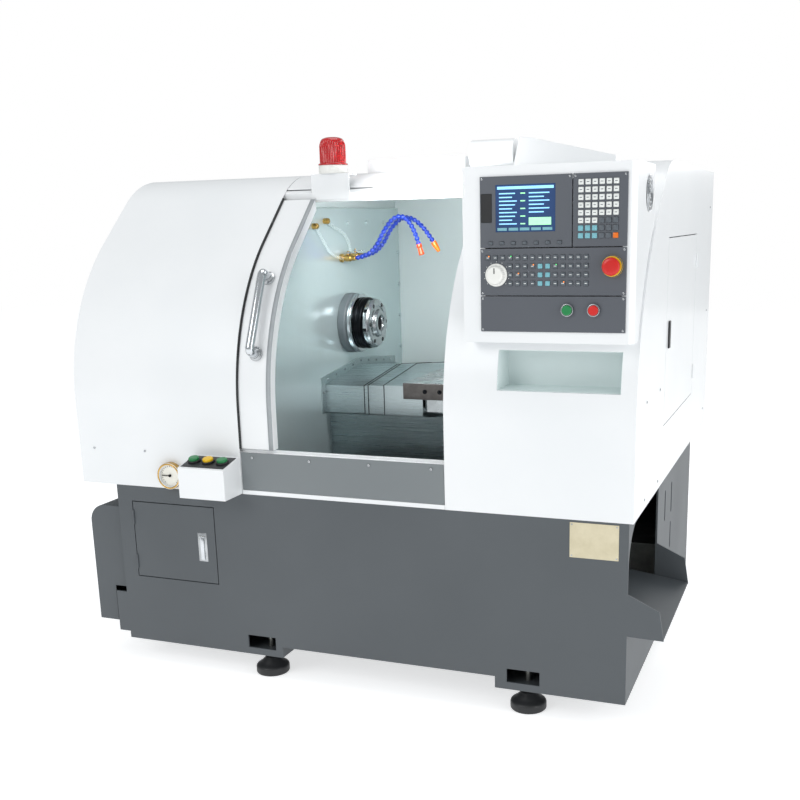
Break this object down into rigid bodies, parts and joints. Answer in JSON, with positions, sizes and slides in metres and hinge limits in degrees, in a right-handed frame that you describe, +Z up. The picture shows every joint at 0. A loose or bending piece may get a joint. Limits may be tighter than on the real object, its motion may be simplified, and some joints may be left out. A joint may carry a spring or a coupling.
{
  "type": "cnc turning lathe",
  "caption": "Compact flat-bed CNC turning lathe with a slant-fronted white enclosure, curved sliding door, control pendant, collet spindle and T-slotted cross slide on a grey base.",
  "frame": {"origin": "on the floor, under the middle of the machine's box", "axes": "+X to the operator's right along the spindle, +Y away from the operator, +Z up"},
  "size_m": [1.974, 1.74, 1.745],
  "materials": {
    "white_enamel": "smooth light powder coat, semi-gloss",
    "grey_enamel": "dark grey powder coat, fine texture",
    "bright_steel": "brushed stainless sheet",
    "zinc_steel": "zinc-plated sheet",
    "cast_grey": "painted casting with machined ways",
    "ground_steel": "ground steel",
    "chrome_plate": "polished chrome",
    "black_oxide": "black oxide",
    "panel_black": "matt dark panel",
    "screen_glass": "dark glass",
    "key_grey": "moulded keys",
    "key_white": "moulded keys",
    "knob_white": "moulded knob",
    "red_plastic": "glossy red",
    "green_plastic": "glossy green",
    "yellow_plastic": "glossy yellow",
    "black_plastic": "moulded black",
    "clear_sheet": "clear polycarbonate",
    "red_lens": "translucent red",
    "blue_hose": "moulded acetal links",
    "belt_rubber": "moulded rubber",
    "foot_iron": "black cast pads"
  },
  "bodies": {
    "machine": {"base_frame": "grey_enamel", "left_end_cover": "grey_enamel", "levelling_feet": "foot_iron", "chip_chute": "grey_enamel", "left_cover": "white_enamel", "right_cover": "white_enamel", "roof_panel": "white_enamel", "rear_cover": "white_enamel", "sill_frame": "white_enamel", "sill_panel": "grey_enamel", "inner_liners": "bright_steel", "wall_plate": "bright_steel", "name_plate": "zinc_steel", "electrical_panel": "zinc_steel", "pendant_box": "white_enamel", "display_bezel": "panel_black", "screen": "screen_glass", "panel_plates": "panel_black", "station_box": "white_enamel", "headstock": "cast_grey", "spindle_motor": "cast_grey", "drive_belt": "belt_rubber", "bed": "cast_grey", "coolant_lines": "blue_hose", "coolant_tank": "zinc_steel", "roof_housings": "white_enamel", "beacon_base": "white_enamel", "beacon_lens": "red_lens"},
    "door": {"door_shell": "white_enamel", "door_window": "clear_sheet", "door_handle": "chrome_plate"},
    "spindle": {"spindle_shaft": "ground_steel", "chuck_body": "chrome_plate", "chuck_ring": "black_oxide", "collet": "chrome_plate"},
    "motor_pulley": {"motor_pulley": "ground_steel"},
    "saddle": {"saddle": "cast_grey"},
    "cross_slide": {"cross_slide": "ground_steel"},
    "z_screw": {"z_screw": "ground_steel"},
    "x_screw": {"x_screw": "ground_steel"},
    "way_cover_middle": {"way_cover_middle": "bright_steel"},
    "way_cover_outer": {"way_cover_outer": "bright_steel"},
    "electrical_door": {"electrical_door": "white_enamel"},
    "electrical_latch": {"electrical_latch": "black_plastic"},
    "base_door": {"base_door": "grey_enamel"},
    "base_latch": {"base_latch": "chrome_plate"},
    "card_flap": {"card_flap": "key_white"},
    "keypad_keys": {"keypad_keys": "key_white"},
    "panel_keys": {"panel_keys": "key_grey"},
    "override_knob": {"override_knob": "knob_white"},
    "estop_button": {"estop_button": "red_plastic"},
    "start_button": {"start_button": "green_plastic"},
    "stop_button": {"stop_button": "red_plastic"},
    "station_button_left": {"station_button_left": "green_plastic"},
    "station_button_middle": {"station_button_middle": "yellow_plastic"},
    "station_button_right": {"station_button_right": "green_plastic"},
    "fan_rotor": {"fan_rotor": "black_plastic"},
    "gauge_needle": {"gauge_needle": "black_plastic"},
    "valve_lever_front": {"valve_lever_front": "chrome_plate"},
    "valve_lever_rear": {"valve_lever_rear": "chrome_plate"}
  },
  "joints": [
    {"name": "door_slide", "type": "slide", "parent": "machine", "child": "door", "axis": [1, 0, 0], "range_m": [0, 0.573]},
    {"name": "spindle_spin", "type": "hinge", "parent": "machine", "child": "spindle", "pos_m": [-0.3, -0.11, 1.12], "axis": [1, 0, 0], "continuous": true},
    {"name": "motor_spin", "type": "hinge", "parent": "machine", "child": "motor_pulley", "pos_m": [-0.66, -0.11, 0.44], "axis": [1, 0, 0], "continuous": true},
    {"name": "z_slide", "type": "slide", "parent": "machine", "child": "saddle", "axis": [1, 0, 0], "range_m": [-0.15, 0.1]},
    {"name": "way_cover_middle_slide", "type": "slide", "parent": "machine", "child": "way_cover_middle", "axis": [1, 0, 0], "range_m": [-0.0501, 0.0334]},
    {"name": "way_cover_outer_slide", "type": "slide", "parent": "machine", "child": "way_cover_outer", "axis": [1, 0, 0], "range_m": [-0.1001, 0.0668]},
    {"name": "z_screw_spin", "type": "hinge", "parent": "machine", "child": "z_screw", "pos_m": [0, -0.035, 0.839], "axis": [1, 0, 0], "range_deg": [-5401, 3601]},
    {"name": "x_slide", "type": "slide", "parent": "saddle", "child": "cross_slide", "axis": [0, 1, 0], "range_m": [-0.07, 0.17]},
    {"name": "x_screw_spin", "type": "hinge", "parent": "saddle", "child": "x_screw", "pos_m": [0.242, 0, 0.913], "axis": [0, 1, 0], "range_deg": [-2521, 6481]},
    {"name": "electrical_door_hinge", "type": "hinge", "parent": "machine", "child": "electrical_door", "pos_m": [0.8965, 0.402, 1.112], "axis": [0, 0, 1], "range_deg": [0, 110]},
    {"name": "electrical_latch_lift", "type": "hinge", "parent": "electrical_door", "child": "electrical_latch", "pos_m": [0.8943, -0.217, 1.148], "axis": [0, -1, 0], "range_deg": [0, 45]},
    {"name": "base_door_hinge", "type": "hinge", "parent": "machine", "child": "base_door", "pos_m": [-0.792, -0.7725, 0.445], "axis": [0, 0, -1], "range_deg": [0, 115]},
    {"name": "base_latch_lift", "type": "hinge", "parent": "base_door", "child": "base_latch", "pos_m": [-0.527, -0.7703, 0.481], "axis": [-1, 0, 0], "range_deg": [0, 45]},
    {"name": "card_flap_hinge", "type": "hinge", "parent": "machine", "child": "card_flap", "pos_m": [0.466, -0.804, 1.5], "axis": [0, 0, -1], "range_deg": [0, 100]},
    {"name": "keypad_press", "type": "slide", "parent": "machine", "child": "keypad_keys", "axis": [0, 1, 0], "range_m": [0, 0.0012], "stiffness_N_per_m": 400},
    {"name": "panel_keys_press", "type": "slide", "parent": "machine", "child": "panel_keys", "axis": [0, 1, 0], "range_m": [0, 0.0012], "stiffness_N_per_m": 400},
    {"name": "override_turn", "type": "hinge", "parent": "machine", "child": "override_knob", "pos_m": [0.509, -0.804, 1.322], "axis": [0, -1, 0], "range_deg": [-150, 150]},
    {"name": "estop_press", "type": "slide", "parent": "machine", "child": "estop_button", "axis": [0, 1, 0], "range_m": [0, 0.0045]},
    {"name": "start_press", "type": "slide", "parent": "machine", "child": "start_button", "axis": [0, 1, 0], "range_m": [0, 0.0045], "stiffness_N_per_m": 400},
    {"name": "stop_press", "type": "slide", "parent": "machine", "child": "stop_button", "axis": [0, 1, 0], "range_m": [0, 0.0045], "stiffness_N_per_m": 400},
    {"name": "station_left_press", "type": "slide", "parent": "machine", "child": "station_button_left", "axis": [0, 0.2149, -0.9766], "range_m": [0, 0.0045], "stiffness_N_per_m": 400, "springref_m": -0.001},
    {"name": "station_middle_press", "type": "slide", "parent": "machine", "child": "station_button_middle", "axis": [0, 0.2149, -0.9766], "range_m": [0, 0.0045], "stiffness_N_per_m": 400, "springref_m": -0.001},
    {"name": "station_right_press", "type": "slide", "parent": "machine", "child": "station_button_right", "axis": [0, 0.2149, -0.9766], "range_m": [0, 0.0045], "stiffness_N_per_m": 400, "springref_m": -0.001},
    {"name": "fan_spin", "type": "hinge", "parent": "machine", "child": "fan_rotor", "pos_m": [0.874, -0.615, 1.53], "axis": [1, 0, 0], "continuous": true},
    {"name": "gauge_turn", "type": "hinge", "parent": "machine", "child": "gauge_needle", "pos_m": [-0.624, -0.785, 0.679], "axis": [0, 1, 0], "range_deg": [0, 180]},
    {"name": "valve_front_turn", "type": "hinge", "parent": "machine", "child": "valve_lever_front", "pos_m": [-0.238, -0.165, 1.37], "axis": [0, 0, -1], "range_deg": [0, 90]},
    {"name": "valve_rear_turn", "type": "hinge", "parent": "machine", "child": "valve_lever_rear", "pos_m": [-0.238, -0.105, 1.376], "axis": [0, 0, 1], "range_deg": [0, 90]}
  ],
  "couplings": [
    {"joint": "motor_spin", "follows": "spindle_spin", "ratio": 1},
    {"joint": "way_cover_middle_slide", "follows": "z_slide", "ratio": 0.33333},
    {"joint": "way_cover_outer_slide", "follows": "z_slide", "ratio": 0.66667},
    {"joint": "z_screw_spin", "follows": "z_slide", "rad_per_m": 628.32},
    {"joint": "x_screw_spin", "follows": "x_slide", "rad_per_m": 628.32}
  ]
}
